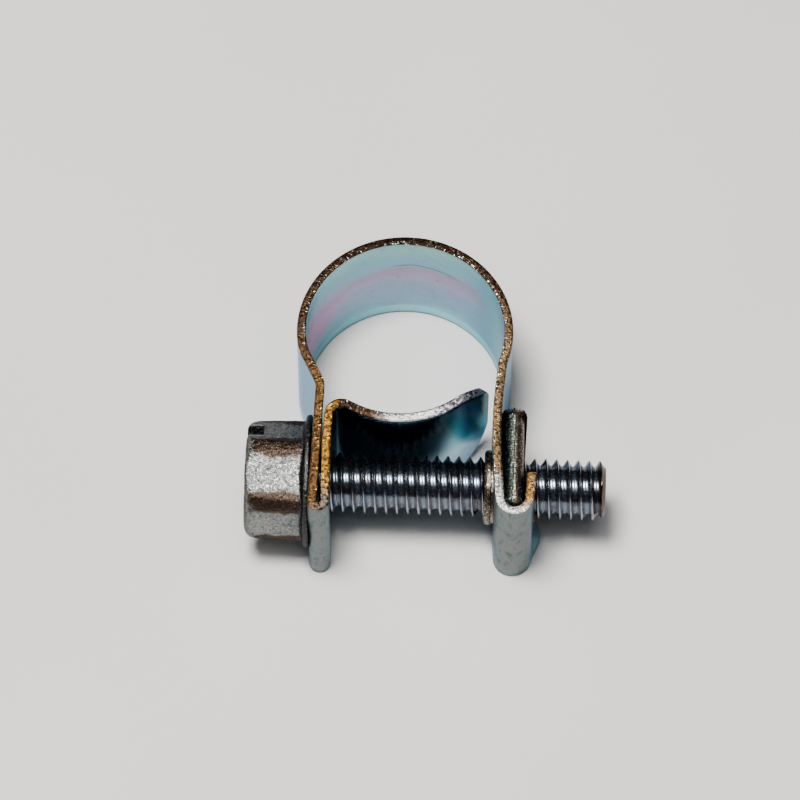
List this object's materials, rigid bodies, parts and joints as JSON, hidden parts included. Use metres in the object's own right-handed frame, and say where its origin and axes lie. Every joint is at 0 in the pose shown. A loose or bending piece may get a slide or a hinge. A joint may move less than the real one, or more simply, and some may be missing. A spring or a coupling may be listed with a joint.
{
  "type": "hose clamp",
  "caption": "Bolt-type hose clamp: a folded strip loop with two ears and an inner tongue, closed by a slotted flange hex screw and a captive plate nut.",
  "frame": {"origin": "on the hose's axis, at the strip's lower edge", "axes": "+Z along the hose's axis, +X along the screw from its head to its tip, ears towards -Y"},
  "size_m": [0.0232, 0.0203, 0.009],
  "materials": {
    "strip_steel": "zinc plated, faintly iridescent blue, rough brown sheared edges",
    "bolt_steel": "zinc plated, bright thread, frosted hex",
    "nut_steel": "dark zinc plated"
  },
  "bodies": {
    "strap": {"band": "strip_steel"},
    "bolt": {"screw": "bolt_steel"},
    "captive_nut": {"nut": "nut_steel"}
  },
  "joints": [
    {"name": "screw_turn", "type": "hinge", "parent": "strap", "child": "bolt", "pos_m": [0, -0.00892, 0.0045], "axis": [1, 0, 0], "range_deg": [-720, 1800]},
    {"name": "nut_travel", "type": "slide", "parent": "strap", "child": "captive_nut", "axis": [-1, 0, 0], "range_m": [-0.0014, 0.0035], "deforming": ["band"]}
  ],
  "couplings": [
    {"joint": "screw_turn", "follows": "nut_travel", "rad_per_m": 8975.9}
  ]
}
